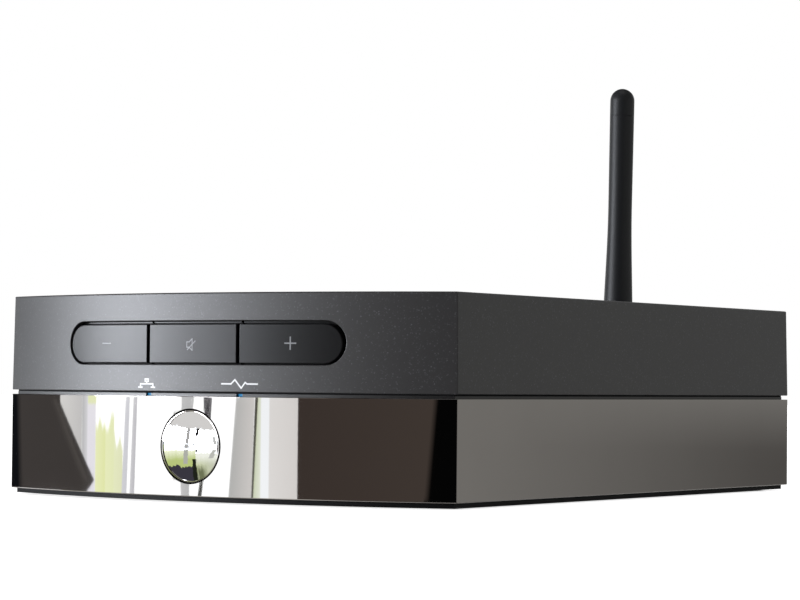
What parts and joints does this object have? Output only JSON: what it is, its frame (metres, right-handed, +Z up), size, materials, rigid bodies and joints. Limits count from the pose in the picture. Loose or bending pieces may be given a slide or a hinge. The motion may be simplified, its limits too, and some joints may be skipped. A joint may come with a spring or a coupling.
{
  "type": "network music streamer",
  "caption": "Bowed two-part desktop case of a network music streamer, with a shadow gap, volume and mute keys, a domed standby key, rear sockets and a swivel whip antenna.",
  "frame": {"origin": "on the standing surface, at the middle of the overall width and depth", "axes": "seen from the front, +X to the right, +Y to the rear, +Z up"},
  "size_m": [0.15, 0.2366, 0.132],
  "materials": {
    "satin_dark_cover": "fine satin paint",
    "dark_mirror_plate": "dark mirror plating",
    "black_plastic": "moulded",
    "black_rubber": "satin",
    "dark_steel": "powder coat",
    "zinc_steel": "plated",
    "satin_grey_keys": "satin paint",
    "switch_plastic": "moulded",
    "switch_steel": "stamped",
    "board_green": "solder mask",
    "polished_chrome": "polished",
    "clear_pipe": "clear moulding",
    "blue_pipe": "lit blue",
    "led_white": "moulded",
    "chip_black": "moulded",
    "heatsink_aluminium": "extruded",
    "ribbon_white": "flat cable",
    "nickel": "nickel plating",
    "insert_red": "moulded",
    "gold_plate": "gold plating"
  },
  "bodies": {
    "chassis": {"base_plate": "black_plastic", "rubber_feet": "black_rubber", "lower_case": "dark_mirror_plate", "chassis_frame": "black_plastic", "top_cover": "satin_dark_cover", "rear_panel": "dark_steel", "case_screws": "zinc_steel", "panel_screws": "zinc_steel", "key_guide": "black_plastic", "key_board": "board_green", "key_switches": "switch_steel", "key_board_screws": "zinc_steel", "standby_board": "board_green", "standby_switch": "switch_steel", "standby_screws": "zinc_steel", "net_light_pipe": "clear_pipe", "status_light_pipe": "blue_pipe", "indicator_leds": "led_white", "main_board": "board_green", "board_screws": "zinc_steel", "processor": "chip_black", "heatsink": "heatsink_aluminium", "board_chips": "chip_black", "board_capacitors": "chip_black", "wireless_module": "switch_steel", "ribbon_sockets": "ribbon_white", "key_ribbon": "ribbon_white", "standby_ribbon": "ribbon_white", "lan_socket": "switch_steel", "phono_block": "black_plastic", "phono_shells": "nickel", "phono_inserts": "insert_red", "dc_socket": "black_plastic", "dc_pin": "nickel", "antenna_socket": "gold_plate", "antenna_socket_nut": "gold_plate", "antenna_lead": "black_rubber", "antenna_coupling": "black_plastic"},
    "volume_down": {"volume_down_key": "satin_grey_keys", "volume_down_plunger": "switch_plastic"},
    "mute": {"mute_key": "satin_grey_keys", "mute_plunger": "switch_plastic"},
    "volume_up": {"volume_up_key": "satin_grey_keys", "volume_up_plunger": "switch_plastic"},
    "standby": {"standby_key": "polished_chrome", "standby_plunger": "switch_plastic"},
    "antenna_base": {"antenna_elbow": "black_plastic"},
    "antenna_arm": {"antenna_hinge_pin": "zinc_steel", "antenna_whip": "black_rubber", "antenna_cap": "black_rubber"}
  },
  "joints": [
    {"name": "volume_down_press", "type": "slide", "parent": "chassis", "child": "volume_down", "axis": [0, 1, 0], "range_m": [0, 0.0006], "stiffness_N_per_m": 1500, "springref_m": -0.0003},
    {"name": "mute_press", "type": "slide", "parent": "chassis", "child": "mute", "axis": [0, 1, 0], "range_m": [0, 0.0006], "stiffness_N_per_m": 1500, "springref_m": -0.0003},
    {"name": "volume_up_press", "type": "slide", "parent": "chassis", "child": "volume_up", "axis": [0, 1, 0], "range_m": [0, 0.0006], "stiffness_N_per_m": 1500, "springref_m": -0.0003},
    {"name": "standby_press", "type": "slide", "parent": "chassis", "child": "standby", "axis": [0, 1, 0], "range_m": [0, 0.0006], "stiffness_N_per_m": 1500, "springref_m": -0.0003},
    {"name": "antenna_swivel", "type": "hinge", "parent": "chassis", "child": "antenna_base", "pos_m": [0.003, 0.10231, 0.046], "axis": [0, 1, 0], "range_deg": [-90, 90]},
    {"name": "antenna_tilt", "type": "hinge", "parent": "antenna_base", "child": "antenna_arm", "pos_m": [0.003, 0.11181, 0.046], "axis": [-1, 0, 0], "range_deg": [-1.7, 88.3]}
  ]
}
